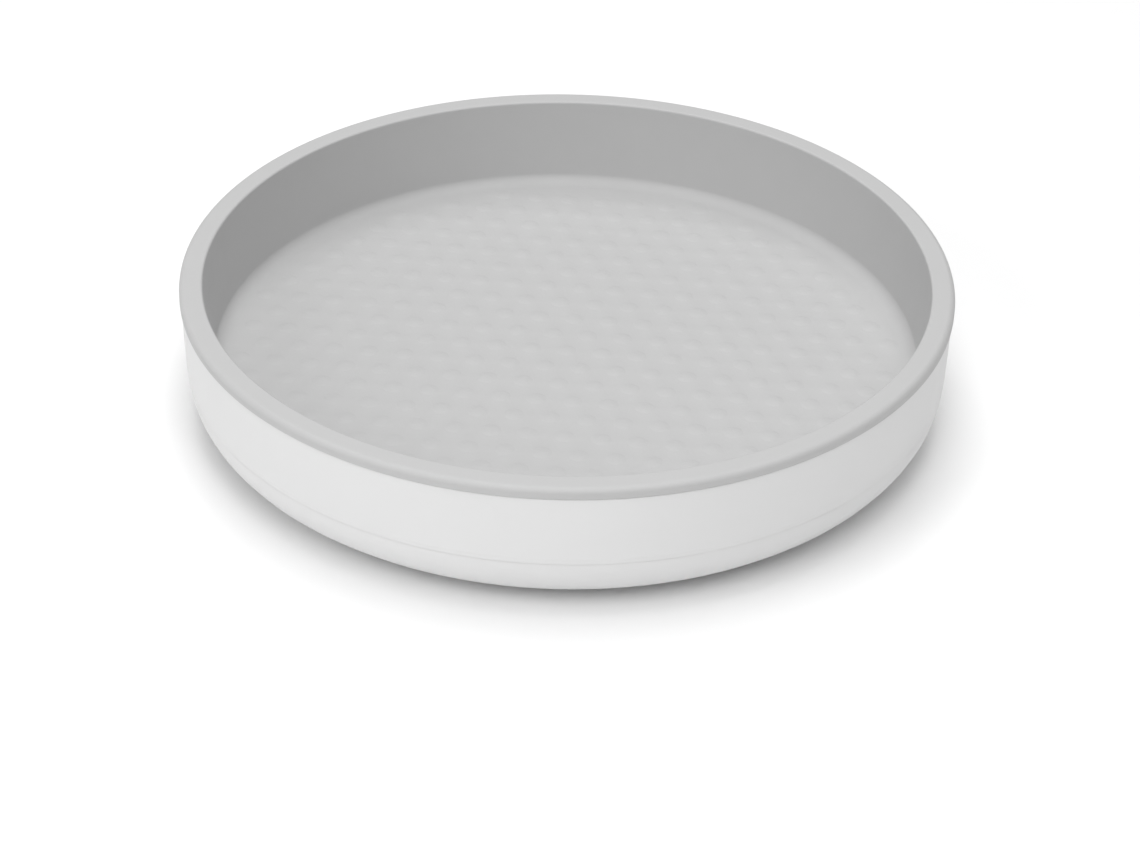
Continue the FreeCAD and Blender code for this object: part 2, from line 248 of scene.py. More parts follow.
class StageSettings(bpy.types.PropertyGroup):
    distance: length(938.8, "Camera to the middle of the rim")
    elevation: angle(30.51, "Camera above the rim's plane")
    azimuth: angle(6.7, "Camera round from the front, towards +X")
    roll: angle(-1.078, "Camera turned about its own axis")
    aim_up: angle(3.183, "Rim's middle above the picture's middle")
    aim_side: angle(-0.047, "Rim's middle right of the picture's middle")
    floor: length(4000.0, "Middle of the floor to each of its sides")
    floor_gap: length(0.05, "Pads' lower faces to the floor")
    lens: FloatProperty(description="Focal length in millimetres", default=90.0, min=1.0)
    sky: FloatProperty(description="Strength of the surrounding light", default=0.292, min=0.0)
    front: watts(8.9, "Softbox high in front")
    side: watts(6.5, "Low softbox to the front left")
    top: watts(15.5, "Softbox straight above")
    back: watts(8.0, "Softbox above and behind")


GROUPS = {
    "turntable_shell": ShellSizes,
    "turntable_liner": LinerSizes,
    "turntable_bearing": BearingSizes,
    "turntable_base": BaseSizes,
    "turntable_hub": HubSizes,
    "turntable_finishes": Finishes,
    "turntable_stage": StageSettings,
}


# --------------------------------------------------------------- plain helpers

def low(node):
    """Lowest corner of a CAD node."""
    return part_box(node)[0]


def high(node):
    """Highest corner of a CAD node."""
    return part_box(node)[1]


def polar(radius, index, count):
    turn = math.tau * index / count
    return Vector((radius * math.cos(turn), radius * math.sin(turn), 0.0))


def rounded(corners, steps=8, support=0.15 * MM):
    """Outline points through (r, z) or (r, z, rounding) corners; a rounding is a radius or (back, ahead).

    A point just before and after each rounding keeps the flats beside it shading flat.
    """
    spots = [Vector(corner[:2]) for corner in corners]
    outline = []
    for index, corner in enumerate(corners):
        spot = spots[index]
        if len(corner) == 2:
            outline.append(spot)
            continue
        before = spots[index - 1] - spot
        after = spots[(index + 1) % len(spots)] - spot
        half_turn = (math.pi - before.angle(after)) / 2
        back, ahead = corner[2] if isinstance(corner[2], tuple) else (corner[2] * math.tan(half_turn),) * 2
        start = spot + before.normalized() * back
        end = spot + after.normalized() * ahead
        weight = math.cos(half_turn)
        if before.length > back + 2 * support:
            outline.append(start + before.normalized() * support)
        for step in range(steps + 1):
            t = step / steps
            near, middle, far = (1 - t) ** 2, 2 * t * (1 - t) * weight, t ** 2
            outline.append((start * near + spot * middle + end * far) / (near + middle + far))
        if after.length > ahead + 2 * support:
            outline.append(end + after.normalized() * support)
    return outline


def bridge(mesh, first, second):
    """Join two rings of points, or a ring and a point, with a band of faces."""
    count = max(len(first), len(second))
    for step in range(count):
        following = (step + 1) % count
        corners = (first[step % len(first)], first[following % len(first)],
                   second[following % len(second)], second[step % len(second)])
        mesh.faces.new(list(dict.fromkeys(corners)))


def turn(mesh, outline, steps=STEPS, closed=True):
    """Add the surface that an (r, z) outline sweeps round the Z axis to a bmesh."""
    rings = []
    for r, z in outline:
        if r < WELD:
            rings.append([mesh.verts.new((0.0, 0.0, z))])
            continue
        rings.append([mesh.verts.new(polar(r, step, steps) + Vector((0, 0, z))) for step in range(steps)])
    pairs = list(zip(rings, rings[1:]))
    if closed and not (len(rings[0]) == 1 and len(rings[-1]) == 1):
        pairs.append((rings[-1], rings[0]))
    for first, second in pairs:
        bridge(mesh, first, second)


def to_mesh(made, name):
    """Weld a bmesh, turn its faces outwards and store it."""
    bmesh.ops.remove_doubles(made, verts=made.verts, dist=WELD)
    bmesh.ops.recalc_face_normals(made, faces=made.faces)
    mesh = bpy.data.meshes.new(name)
    made.to_mesh(mesh)
    made.free()
    return mesh


def baked(carrier, *cutters):
    """Plain mesh of an object with its modifiers worked out; it and the objects that cut it are removed."""
    for piece in (carrier, *cutters):
        bpy.context.scene.collection.objects.link(piece)
    bpy.context.view_layer.update()
    result = bpy.data.meshes.new_from_object(carrier.evaluated_get(bpy.context.evaluated_depsgraph_get()))
    carrier.modifiers.clear()
    for piece in (carrier, *cutters):
        bpy.data.objects.remove(piece)
    return result


def turned(name, corners, steps=STEPS):
    """Mesh of a closed outline turned about Z."""
    made = bmesh.new()
    turn(made, rounded(corners), steps)
    return to_mesh(made, name)


def plain_ring(node, inside, edge, steps):
    """Mesh of a flat ring as tall and as wide as a CAD node, with all its edges rounded."""
    bottom, top, outside = low(node).z, high(node).z, high(node).x
    return turned(node, [(inside, bottom, edge), (outside, bottom, edge),
                         (outside, top, edge), (inside, top, edge)], steps)


def place(mesh, name, material, body, slot, *nodes):
    """Make the finished piece: smooth shading with crisp corners, its material and body, with its CAD nodes
    hidden; the slot argument is not used.
    """
    mesh.materials.clear()
    mesh.materials.append(material)
    mesh.polygons.foreach_set("use_smooth", [True] * len(mesh.polygons))
    mesh.polygons.foreach_set("material_index", [0] * len(mesh.polygons))
    mesh.set_sharp_from_angle(angle=SHARP)
    piece = bpy.data.objects.new(name, mesh)
    bpy.context.scene.collection.objects.link(piece)
    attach(piece, body)
    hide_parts(*nodes)
    return piece


def add_node(tree, kind, inputs=(), out=0, **settings):
    """Add a node and return one of its outputs.

    The inputs are values or sockets, in order or by name or index; the settings are its own properties.
    """
    made = tree.nodes.new(kind)
    for name, value in settings.items():
        setattr(made, name, value)
    for name, value in inputs.items() if isinstance(inputs, dict) else enumerate(inputs):
        if isinstance(value, bpy.types.NodeSocket):
            tree.links.new(value, made.inputs[name])
        else:
            made.inputs[name].default_value = value
    return made.outputs[out] if made.outputs else None


# ------------------------------------------------------------- geometry nodes

def new_tree(name, inputs):
    """Geometry Nodes tree with a geometry in and out and the named inputs; returns it and its inputs."""
    tree = bpy.data.node_groups.new(name, "GeometryNodeTree")
    tree.interface.new_socket("Geometry", in_out="INPUT", socket_type="NodeSocketGeometry")
    tree.interface.new_socket("Geometry", in_out="OUTPUT", socket_type="NodeSocketGeometry")
    for label, kind in inputs.items():
        tree.interface.new_socket(label, in_out="INPUT", socket_type="NodeSocket" + kind)
    return tree, add_node(tree, "NodeGroupInput").node.outputs


def close_tree(tree, geometry, material):
    """End a tree in Realize Instances and Set Material."""
    real = add_node(tree, "GeometryNodeRealizeInstances", [geometry])
    painted = add_node(tree, "GeometryNodeSetMaterial", {0: real, "Material": material})
    add_node(tree, "NodeGroupOutput", [painted])


def grown(tree, mesh, **values):
    """Plain mesh that a tree makes from a mesh, with its named inputs set."""
    carrier = bpy.data.objects.new("carrier", mesh)
    modifier = carrier.modifiers.new("grow", "NODES")
    modifier.node_group = tree
    for item in tree.interface.items_tree:
        key = item.name.lower().replace(" ", "_")
        if item.in_out == "INPUT" and key in values:
            modifier[item.identifier] = values.pop(key)
    if values:
        raise RuntimeError("the tree %s has no input for %s" % (tree.name, sorted(values)))
    result = baked(carrier)
    if not result.polygons:
        raise RuntimeError("the tree %s made nothing" % tree.name)
    return result


def extent(tree, start, end):
    """Length and middle of the stretch between two values."""
    total = add_node(tree, MATH, (end, start), operation="ADD")
    middle = add_node(tree, MATH, (total, 0.5), operation="MULTIPLY")
    return add_node(tree, MATH, (end, start), operation="SUBTRACT"), middle


def in_a_ring(tree, piece, count, first_place=0.0):
    """A piece repeated in equal steps round the axis."""
    index = add_node(tree, "GeometryNodeInputIndex")
    step = add_node(tree, MATH, (math.tau, count), operation="DIVIDE")
    number = add_node(tree, MATH, (index, first_place), operation="ADD")
    turns = add_node(tree, COMBINE, {"Z": add_node(tree, MATH, (number, step), operation="MULTIPLY")})
    points = add_node(tree, "GeometryNodePoints", {"Count": count})
    return add_node(tree, "GeometryNodeInstanceOnPoints",
                    {"Points": points, "Instance": piece, "Rotation": turns})


def on_circle(tree, circle, turn, height=0.0):
    """The place at a radius, a turn round the axis and a height."""
    spot = []
    for name in ("COSINE", "SINE"):
        share = add_node(tree, MATH, [turn], operation=name)
        spot.append(add_node(tree, MATH, (share, circle), operation="MULTIPLY"))
    return add_node(tree, COMBINE, (*spot, height))


def bump_tree():
    """Raises round bumps on a flat sheet wherever it is near a point of a triangular lattice.

    The lattice is two rectangular ones, the second set half a step along and across from the first.
    """
    tree, given = new_tree("Bumped floor", {
        "Pitch": "Float", "Radius": "Float", "Height": "Float", "Field": "Float",
        "Floor": "Float", "Material": "Material"})
    row = add_node(tree, MATH, (given["Pitch"], math.sqrt(3)), operation="MULTIPLY")
    cell = add_node(tree, COMBINE, (given["Pitch"], row, 1.0))
    half = add_node(tree, VECTOR, {0: cell, "Scale": 0.5}, operation="SCALE")
    where = add_node(tree, "GeometryNodeInputPosition")
    flat = add_node(tree, VECTOR, (where, LEVEL), operation="MULTIPLY")
    nearest = []
    for shifted in (False, True):
        local = add_node(tree, VECTOR, (flat, half), operation="SUBTRACT") if shifted else flat
        cells = add_node(tree, VECTOR, (local, cell), operation="DIVIDE")
        rounding = add_node(tree, VECTOR, (cells, (0.5, 0.5, 0.0)), operation="ADD")
        whole = add_node(tree, VECTOR, [rounding], operation="FLOOR")
        centre = add_node(tree, VECTOR, (whole, cell), operation="MULTIPLY")
        if shifted:
            centre = add_node(tree, VECTOR, (centre, half), operation="ADD")
        centre = add_node(tree, VECTOR, (centre, LEVEL), operation="MULTIPLY")
        away = add_node(tree, VECTOR, (flat, centre), "Value", operation="DISTANCE")
        from_axis = add_node(tree, VECTOR, [centre], "Value", operation="LENGTH")
        outside = add_node(tree, MATH, (from_axis, given["Field"]), operation="GREATER_THAN")
        nearest.append(add_node(tree, MATH, (away, outside), operation="ADD"))
    away = add_node(tree, MATH, nearest, operation="MINIMUM")
    ratio = add_node(tree, MATH, (away, given["Radius"]), operation="DIVIDE")
    share = add_node(tree, MATH, (ratio, 1.0), operation="MINIMUM")
    drop = add_node(tree, MATH, (share, DOME_SHOULDER), operation="POWER")
    crown = add_node(tree, MATH, (1.0, drop), operation="SUBTRACT")
    dome = add_node(tree, MATH, (crown, DOME_FOOT), operation="POWER")
    lift = add_node(tree, MATH, (dome, given["Height"]), operation="MULTIPLY")
    height = add_node(tree, "ShaderNodeSeparateXYZ", [where], "Z")
    on_floor = add_node(tree, MATH, (height, given["Floor"], FLUSH), operation="COMPARE")
    offset = add_node(tree, COMBINE, {"Z": add_node(tree, MATH, (lift, on_floor), operation="MULTIPLY")})
    raised = add_node(tree, "GeometryNodeSetPosition", {"Geometry": given["Geometry"], "Offset": offset})
    close_tree(tree, raised, given["Material"])
    return tree


def rib_tree():
    """Adds radial ribs in a ring to a turned body."""
    tree, given = new_tree("Radial ribs", {
        "Inside": "Float", "Outside": "Float", "Bottom": "Float", "Top": "Float",
        "Thickness": "Float", "Count": "Int", "Material": "Material"})
    across, middle_x = extent(tree, given["Inside"], given["Outside"])
    tall, middle_z = extent(tree, given["Bottom"], given["Top"])
    block = add_node(tree, "GeometryNodeMeshCube",
                     {"Size": add_node(tree, COMBINE, (across, given["Thickness"], tall))})
    rib = add_node(tree, MOVE, {0: block, "Translation": add_node(tree, COMBINE, (middle_x, 0.0, middle_z))})
    joined = add_node(tree, "GeometryNodeJoinGeometry", [given["Geometry"]])
    tree.links.new(in_a_ring(tree, rib, given["Count"], 0.5), joined.node.inputs[0])
    close_tree(tree, joined, given["Material"])
    return tree


def pocket_tree():
    """Cuts round pockets or holes in a ring out of a turned body."""
    tree, given = new_tree("Round pockets", {
        "Circle": "Float", "Radius": "Float", "Bottom": "Float", "Top": "Float",
        "Count": "Int", "Material": "Material"})
    tall, middle_z = extent(tree, given["Bottom"], given["Top"])
    drill = add_node(tree, "GeometryNodeMeshCylinder",
                     {"Vertices": SMALL_STEPS, "Radius": given["Radius"], "Depth": tall})
    middle = add_node(tree, COMBINE, (given["Circle"], 0.0, middle_z))
    moved = add_node(tree, MOVE, {0: drill, "Translation": middle})
    cutters = add_node(tree, "GeometryNodeRealizeInstances", [in_a_ring(tree, moved, given["Count"])])
    cut = add_node(tree, "GeometryNodeMeshBoolean",
                   {"Mesh 1": given["Geometry"], "Mesh 2": cutters}, operation="DIFFERENCE")
    close_tree(tree, cut, given["Material"])
    return tree


def ball_tree():
    """One ball, at its place in the ring."""
    tree, given = new_tree("Bearing ball", {
        "Radius": "Float", "Circle": "Float", "Height": "Float", "Turn": "Float", "Material": "Material"})
    ball = add_node(tree, "GeometryNodeMeshIcoSphere", {"Radius": given["Radius"], "Subdivisions": 5})
    spot = on_circle(tree, given["Circle"], given["Turn"], given["Height"])
    close_tree(tree, add_node(tree, MOVE, {0: ball, "Translation": spot}), given["Material"])
    return tree


def pad_tree():
    """Moves a die-cut foam disc to its place and roughens its cut edge."""
    tree, given = new_tree("Foam pad", {
        "Circle": "Float", "Turn": "Float", "Radius": "Float", "Roughness": "Float", "Seed": "Float",
        "Material": "Material"})
    where = add_node(tree, "GeometryNodeInputPosition")
    flat = add_node(tree, VECTOR, (where, LEVEL), operation="MULTIPLY")
    radius = add_node(tree, VECTOR, [flat], "Value", operation="LENGTH")
    outward = add_node(tree, VECTOR, [flat], operation="NORMALIZE")
    rim = add_node(tree, MATH, (given["Radius"], CUT_EDGE), operation="MULTIPLY")
    edge = add_node(tree, MATH, (radius, rim), operation="GREATER_THAN")
    grain = add_node(tree, NOISE, {"Vector": where, "W": given["Seed"], "Scale": CUT_GRAINS, "Detail": 3.0},
                     noise_dimensions="4D")
    deep = add_node(tree, MATH, (grain, given["Roughness"]), operation="MULTIPLY")
    deep = add_node(tree, MATH, (deep, edge), operation="MULTIPLY")
    inward = add_node(tree, MATH, (deep, -1.0), operation="MULTIPLY")
    offset = add_node(tree, VECTOR, {0: outward, "Scale": inward}, operation="SCALE")
    rough = add_node(tree, "GeometryNodeSetPosition", {"Geometry": given["Geometry"], "Offset": offset})
    spot = on_circle(tree, given["Circle"], given["Turn"])
    close_tree(tree, add_node(tree, MOVE, {0: rough, "Translation": spot}), given["Material"])
    return tree


# ------------------------------------------------------------------- materials

def new_material(name):
    """Material with an empty node tree; returns it, its tree and its object coordinates."""
    material = bpy.data.materials.new(name)
    material.use_nodes = True
    tree = material.node_tree
    tree.nodes.clear()
    return material, tree, add_node(tree, "ShaderNodeTexCoord", out="Object")


def close_material(tree, inputs):
    """End a material in its shader, with values or sockets for the shader's own inputs."""
    add_node(tree, "ShaderNodeOutputMaterial", [add_node(tree, "ShaderNodeBsdfPrincipled", inputs)])


def wander(tree, where, size, first=0.0, last=1.0, detail=2.0):
    """Value that wanders between two values in patches about `size` metres across."""
    patches = add_node(tree, NOISE, {
        "Vector": where, "Scale": 1 / size, "Detail": detail, "Roughness": OCTAVES})
    return add_node(tree, RANGE, {"Value": patches, "To Min": first, "To Max": last})


def blend(tree, share, first, second):
    """Colour that goes from the first to the second as a share does."""
    return add_node(tree, MIX, {0: share, 6: first, 7: second}, 2, data_type="RGBA")


def mottle(tree, where, size, tint, darkest, detail=2.0):
    """Colour that wanders between a darker shade of a tint and the tint itself."""
    dark = [part * darkest for part in tint]
    return blend(tree, wander(tree, where, size, detail=detail), (*dark, 1.0), (*tint, 1.0))


def skin(tree, height, depth, strength):
    """Normal of a surface that is raised by up to `depth` metres where the height is 1."""
    return add_node(tree, BUMP, {"Height": height, "Distance": depth, "Strength": strength})


def moulded_polypropylene(tint):
    """Injection-moulded polypropylene: milky white, satin, with the tool's fine spark-eroded grain."""
    material, tree, where = new_material("moulded polypropylene, white")
    # Spark erosion leaves grains of about 0.05 mm; drawn at 0.5 mm so that they show.
    close_material(tree, {
        "Base Color": mottle(tree, where, 45 * MM, tint, 0.979),
        "Roughness": wander(tree, where, 12 * MM, 0.36, 0.48),
        "Normal": skin(tree, wander(tree, where, 0.5 * MM, detail=3.0), 0.02 * MM, 0.35),
        "IOR": 1.49})
    return material


def moulded_elastomer(tint):
    """Thermoplastic elastomer: soft, matt light grey, with a blotchy bloom."""
    material, tree, where = new_material("moulded thermoplastic elastomer, light grey")
    # The moulded skin's grain is about 0.1 mm; drawn at 0.6 mm so that it shows.
    close_material(tree, {
        "Base Color": mottle(tree, where, 14 * MM, tint, 0.965, 4.0),
        "Roughness": wander(tree, where, 5 * MM, 0.56, 0.7),
        "Normal": skin(tree, wander(tree, where, 0.6 * MM, detail=3.0), 0.03 * MM, 0.4),
        "IOR": 1.48,
        "Sheen Weight": 0.06,
        "Sheen Roughness": 0.6})
    return material


def moulded_acetal(tint):
    """Acetal, unpigmented: waxy off-white, harder and glossier than polypropylene."""
    material, tree, where = new_material("moulded acetal, natural")
    close_material(tree, {
        "Base Color": mottle(tree, where, 8 * MM, tint, 0.95),
        "Roughness": wander(tree, where, 2 * MM, 0.25, 0.38),
        "IOR": 1.48,
        "Subsurface Weight": 0.15,
        "Subsurface Radius": (0.8 * MM, 0.7 * MM, 0.6 * MM)})
    return material


def zinc_plated_steel(tint):
    """Pressed or turned steel with bright zinc: fine concentric tool lines under a soft spangle."""
    material, tree, where = new_material("zinc-plated steel")
    flat = add_node(tree, VECTOR, (where, LEVEL), operation="MULTIPLY")
    radius = add_node(tree, VECTOR, [flat], "Value", operation="LENGTH")
    # Tool lines are about 0.1 mm apart; drawn at 0.3 mm.
    lines = add_node(tree, NOISE, {"W": radius, "Scale": 1 / (0.3 * MM)}, noise_dimensions="1D")
    streaks = add_node(tree, RANGE, {"Value": lines, "To Min": 0.22, "To Max": 0.34})
    spangle = wander(tree, where, 3 * MM, -0.04, 0.06, 4.0)
    close_material(tree, {
        "Base Color": mottle(tree, where, 3 * MM, tint, 0.86, 4.0),
        "Metallic": 1.0,
        "Roughness": add_node(tree, MATH, (streaks, spangle), operation="ADD"),
        "Normal": skin(tree, lines, 0.01 * MM, 0.3)})
    return material


def polished_steel(tint):
    """Bearing steel, ground and polished: a near mirror with a faint oil film."""
    material, tree, where = new_material("polished bearing steel")
    close_material(tree, {
        "Base Color": mottle(tree, where, 1.5 * MM, tint, 0.93, 3.0),
        "Metallic": 1.0,
        "Roughness": wander(tree, where, 1.5 * MM, 0.05, 0.14, 3.0)})
    return material


def die_cut_neoprene(tint, lint):
    """Foamed neoprene, die cut: sooty black with open cells, and pale lint caught in them."""
    material, tree, where = new_material("die-cut neoprene foam, black")
    # Cells are about 0.2 mm; drawn at 0.6 mm so that they show.
    cells = add_node(tree, "ShaderNodeTexVoronoi", {"Vector": where, "Scale": 1 / (0.6 * MM)}, "Distance")
    fluff = wander(tree, where, 1.1 * MM, detail=5.0)
    specks = add_node(tree, RANGE, {"Value": fluff, "From Min": 0.68, "From Max": 0.74})
    black = mottle(tree, where, 3 * MM, tint, 0.6)
    close_material(tree, {
        "Base Color": blend(tree, specks, black, (*lint, 1.0)),
        "Roughness": add_node(tree, RANGE, {"Value": cells, "To Min": 0.95, "To Max": 0.8}),
        "Normal": skin(tree, cells, 0.12 * MM, 0.8),
        "IOR": 1.5,
        "Sheen Weight": 0.25,
        "Sheen Roughness": 0.5})
    return material


def painted_floor(tint):
    """Matt white studio floor with a faint unevenness."""
    material, tree, where = new_material("matt studio floor")
    close_material(tree, {
        "Base Color": mottle(tree, where, 0.4, tint, 0.985),
        "Roughness": 0.9,
        "Specular IOR Level": 0.2})
    return material


def finish(context, maker, *colours):
    """The material of one finish, made the first time that a piece asks for it."""
    made = context.scene.get("turntable_" + maker.__name__)
    if made is None:
        tints = [tuple(getattr(context.scene.turntable_finishes, name)) for name in colours]
        made = maker(*tints)
        context.scene["turntable_" + maker.__name__] = made
    return made


# -------------------------------------------------------------- piece outlines

def seat_rings(plate, flange, reach, bearing, circle):
    """Outline steps, from the axis outwards, of two seat rings and a locating ring on a plate."""
    half = bearing.seat_wall / 2
    inner = circle - bearing.seat_offset
    outer = circle + bearing.seat_offset
    locate = circle + bearing.half_width + bearing.edge_play
    corners = []
    for near, far, tip in ((inner - half, inner + half, flange), (outer - half, outer + half, flange),
                           (locate, locate + bearing.seat_wall, reach)):
        corners += [(near, plate), (near, tip, FINE), (far, tip, FINE), (far, plate)]
    return corners


def ball_circle():
    """Radius of the ball circle and height of the balls' centres."""
    low_corner, high_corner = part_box("ball_01")
    return (low_corner.x + high_corner.x) / 2, (low_corner.z + high_corner.z) / 2


def shell_outline(shell, liner, bearing):
    """Closed outline of the shell, from the pilot hole out to the rim and back over the raised floor."""
    circle, _ = ball_circle()
    top_radius = high("outer_shell").x
    bottom = low("outer_shell").z
    tongue_top = high("outer_shell").z
    floor_top = low("grip_liner").z
    underside = floor_top - shell.floor
    flange = high("upper_race").z - bearing.groove_depth
    shoulder = high("grip_liner").z - liner.lip_height - shell.shadow_gap
    low_radius = top_radius - shell.taper
    foot_radius = low_radius - shell.witness_step
    land = foot_radius - shell.round_width
    recess = land - shell.wall
    witness_height = bottom + shell.round_height
    tongue_outside = high("grip_liner").x - liner.lip_thickness - liner.slot_play
    inside = top_radius - shell.wall
    post_bottom = high("thrust_washer").z
    pilot_top = high("centre_screw").z + shell.pilot_spare
    return [
        (0.0, pilot_top),
        (shell.pilot_radius, pilot_top),
        (shell.pilot_radius, post_bottom),
        (shell.post_radius, post_bottom, shell.recess_edge / 2),
        (shell.post_radius, underside, shell.recess_edge),
        *seat_rings(underside, flange, flange - bearing.reach, bearing, circle),
        (recess, underside, WIDE),
        (recess, bottom, shell.recess_edge),
        (foot_radius, bottom, (shell.round_width, shell.round_height - SOFT)),
        (foot_radius, witness_height, shell.witness_edge),
        (low_radius, witness_height + shell.witness_rise, shell.witness_edge),
        (top_radius, shoulder, shell.shoulder_edge),
        (tongue_outside, shoulder, FINE),
        (tongue_outside, tongue_top, SOFT),
        (inside, tongue_top, SOFT),
        (inside - shell.taper, witness_height),
        (inside - shell.taper, bottom + shell.wall,
         (shell.round_height - shell.wall, shell.round_width - shell.wall)),
        (land, bottom + shell.wall),
        (land, floor_top, WIDE),
        (0.0, floor_top),
    ]


def liner_wall(liner, z):
    """Radius of the liner's inner wall at a height."""
    rim = high("grip_liner")
    return rim.x - liner.rim_width - (rim.z - z) * math.tan(liner.draft)


def liner_outline(liner, shell):
    """Open outline of the liner, from the middle of its underside round to the edge of its bumped floor."""
    lowest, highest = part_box("grip_liner")
    underside, rim_top, rim_radius = lowest.z, highest.z, highest.x
    floor_top = underside + liner.thickness
    skin = liner.thickness / math.cos(liner.draft)
    slot_inside = high("outer_shell").x - shell.wall - liner.slot_play
    lip_inside = rim_radius - liner.lip_thickness
    lip_bottom = rim_top - liner.lip_height
    slot_top = rim_top - liner.bead_roof
    return [
        (0.0, underside),
        (liner_wall(liner, underside) + skin, underside,
         (liner.corner_width + liner.thickness, liner.corner_height + liner.thickness)),
        (liner_wall(liner, lip_bottom) + skin, lip_bottom, FILLET),
        (slot_inside, lip_bottom, SOFT),
        (slot_inside, slot_top, SOFT),
        (lip_inside, slot_top, SOFT),
        (lip_inside, lip_bottom, SOFT),
        (rim_radius, lip_bottom, liner.lip_edge),
        (rim_radius, rim_top, (liner.bead_edge_height, liner.bead_edge_width)),
        (liner_wall(liner, rim_top), rim_top, liner.bead_inner_edge),
        (liner_wall(liner, floor_top), floor_top, (liner.corner_height, liner.corner_width)),
        (0.0, floor_top),
    ]


def bump_places(liner, field):
    """Bump centres: a triangular lattice with rows along X and one bump on the axis."""
    row_step = liner.bump_pitch * math.sqrt(3) / 2
    rows = int(field / row_step)
    columns = int(field / liner.bump_pitch) + 1
    places = []
    for row in range(-rows, rows + 1):
        for column in range(-columns, columns + 1):
            spot = Vector(((column + 0.5 * (row % 2)) * liner.bump_pitch, row * row_step))
            if spot.length <= field:
                places.append(spot)
    return places


def flat_floor(mesh, liner, radius, z, field):
    """Add a flat disc to a bmesh, with rings of points where each bump will rise."""
    def ring_round(spot, share):
        return [spot + polar(liner.bump_radius * share, step, BUMP_STEPS).to_2d()
                for step in range(BUMP_STEPS)]

    places = bump_places(liner, field)
    points = [polar(radius, step, STEPS).to_2d() for step in range(STEPS)]
    borders = [(step, (step + 1) % STEPS) for step in range(STEPS)]
    near = KDTree(len(places))
    for index, spot in enumerate(places):
        near.insert((*spot, 0.0), index)
        first = len(points)
        points += ring_round(spot, 1.0)
        borders += [(first + step, first + (step + 1) % BUMP_STEPS) for step in range(BUMP_STEPS)]
    near.balance()
    corners, _, triangles, *_ = delaunay_2d_cdt(points, borders, [], 0, WELD / 2)
    verts = [mesh.verts.new((*corner, z)) for corner in corners]
    flat_of_ring = liner.bump_radius * math.cos(math.pi / BUMP_STEPS) - SLACK
    for triangle in triangles:
        middle = sum((corners[index] for index in triangle), Vector((0.0, 0.0))) / 3
        if near.find((*middle, 0.0))[2] > flat_of_ring:
            mesh.faces.new([verts[index] for index in triangle])
    for spot in places:
        rings = [[mesh.verts.new((*point, z)) for point in ring_round(spot, share)] for share in BUMP_RINGS]
        rings.append([mesh.verts.new((*spot, z))])
        for outer, inner in zip(rings, rings[1:]):
            bridge(mesh, outer, inner)


def race_outline(groove, facing, bearing, circle):
    """Outline of a pressed race; facing is 1 for a groove open upwards and -1 for one open downwards."""
    def arc(radius):
        half_angle = math.acos((radius - bearing.groove_depth) / radius)
        centre = groove + facing * bearing.groove_radius
        slants = [half_angle * (2 * step / GROOVE_STEPS - 1) for step in range(GROOVE_STEPS + 1)]
        return [(circle + radius * math.sin(slant), centre - facing * radius * math.cos(slant))
                for slant in slants]

    inside, outside = circle - bearing.half_width, circle + bearing.half_width
    flange = groove + facing * bearing.groove_depth
    back = flange - facing * bearing.sheet
    return [
        (inside, flange, bearing.race_edge),
        *arc(bearing.groove_radius),
        (outside, flange, bearing.race_edge),
        (outside, back, bearing.race_edge),
        *reversed(arc(bearing.groove_radius + bearing.sheet)),
        (inside, back, bearing.race_edge),
    ]


def base_outline(base, bearing, hub):
    """Closed outline of the base, from the cap's rebate out to the upturned edge and back up over the hub."""
    circle, _ = ball_circle()
    lowest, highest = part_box("base_plate")
    underside, roof_top, radius = lowest.z, highest.z, highest.x
    top = underside + base.plate
    edge_top = top + base.edge_height
    edge_inside = radius - base.edge_wall
    flange = low("lower_race").z + bearing.groove_depth
    roof_bottom = roof_top - base.roof
    bore = bush_outside(hub) + hub.seat_play
    rebate = base.cup_radius + hub.cap_rebate
    cap_top = underside + hub.cap_thickness
    hub_outside = base.cup_radius + base.cup_wall
    return [
        (rebate, underside, FINE),
        (radius, underside, base.foot_edge),
        (radius, edge_top, FILLET),
        (edge_inside, edge_top, FILLET),
        (edge_inside, top, WIDE),
        *reversed(seat_rings(top, flange, flange + bearing.reach, bearing, circle)),
        (hub_outside, top, FILLET),
        (hub_outside, roof_top, FILLET),
        (bore, roof_top, FINE),
        (bore, roof_bottom),
        (base.cup_radius, roof_bottom),
        (base.cup_radius, cap_top),
        (rebate, cap_top),
    ]


def bush_outside(hub):
    """Outside radius of the bush's barrel."""
    return bpy.context.scene.turntable_shell.post_radius + hub.bush_play + hub.bush_wall


def ribbed(scene, body, inner, outer, bottom, top, material):
    """Add two rings of ribs: from an inner radius to the bearing, and from it to an outer radius."""
    base, bearing = scene.turntable_base, scene.turntable_bearing
    circle, _ = ball_circle()
    locate = circle + bearing.half_width + bearing.edge_play
    ribs = rib_tree()
    for inside, outside in ((inner, circle - bearing.seat_offset), (locate + bearing.seat_wall / 2, outer)):
        body = grown(ribs, body, inside=inside, outside=outside, bottom=bottom, top=top,
                     thickness=base.rib_thickness, count=base.ribs, material=material)
    return body


# ------------------------------------------------------------------- operators

class TURNTABLE_OT_shell(bpy.types.Operator):
    """Build the white outer shell with its ribs and centre post"""
    bl_idname = "turntable.shell"
    bl_label = "Outer shell"
    bl_options = {"REGISTER", "UNDO"}

    def execute(self, context):
        scene = context.scene
        shell, bearing = scene.turntable_shell, scene.turntable_bearing
        white = finish(context, moulded_polypropylene, "polypropylene")
        body = turned("shell_body", shell_outline(shell, scene.turntable_liner, bearing))
        underside = low("grip_liner").z - shell.floor
        half = bearing.seat_wall / 2
        recess = high("outer_shell").x - shell.taper - shell.witness_step - shell.round_width - shell.wall
        body = ribbed(scene, body, shell.post_radius - half, recess + half, underside - shell.rib_height,
                      underside + ROOT, white)
        place(body, "shell", white, "tray", "shell", "outer_shell")
        return {"FINISHED"}


